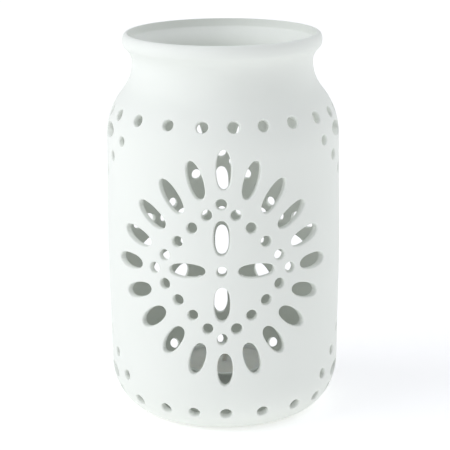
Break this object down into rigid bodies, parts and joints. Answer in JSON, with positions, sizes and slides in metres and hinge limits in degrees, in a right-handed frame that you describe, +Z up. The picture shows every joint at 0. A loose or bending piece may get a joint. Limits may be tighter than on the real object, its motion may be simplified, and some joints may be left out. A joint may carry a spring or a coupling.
{
  "type": "tealight holder",
  "caption": "Pierced white porcelain jar with a flared mouth that holds a lift-out tealight in an aluminium cup.",
  "frame": {"origin": "centre of the jar's foot, on the surface that it stands on", "axes": "+Z up along the jar's axis, -Y towards the front medallion, +X to the right seen from the front"},
  "size_m": [0.098, 0.098, 0.16],
  "materials": {
    "porcelain": "unglazed matte white bisque",
    "cup_aluminium": "drawn thin foil, soft satin",
    "wax": "white paraffin wax, satin and slightly translucent",
    "wick_cotton": "braided waxed cotton",
    "tinplate": "stamped tinplate"
  },
  "bodies": {
    "holder": {"pierced_jar": "porcelain"},
    "tealight": {"tealight_cup": "cup_aluminium"},
    "candle": {"candle_wax": "wax", "wick": "wick_cotton", "wick_sustainer": "tinplate"}
  },
  "joints": [
    {"name": "tealight_lift", "type": "slide", "parent": "holder", "child": "tealight", "axis": [0, 0, 1], "range_m": [0, 0.165]},
    {"name": "candle_lift", "type": "slide", "parent": "tealight", "child": "candle", "axis": [0, 0, 1], "range_m": [0, 0.02]}
  ]
}
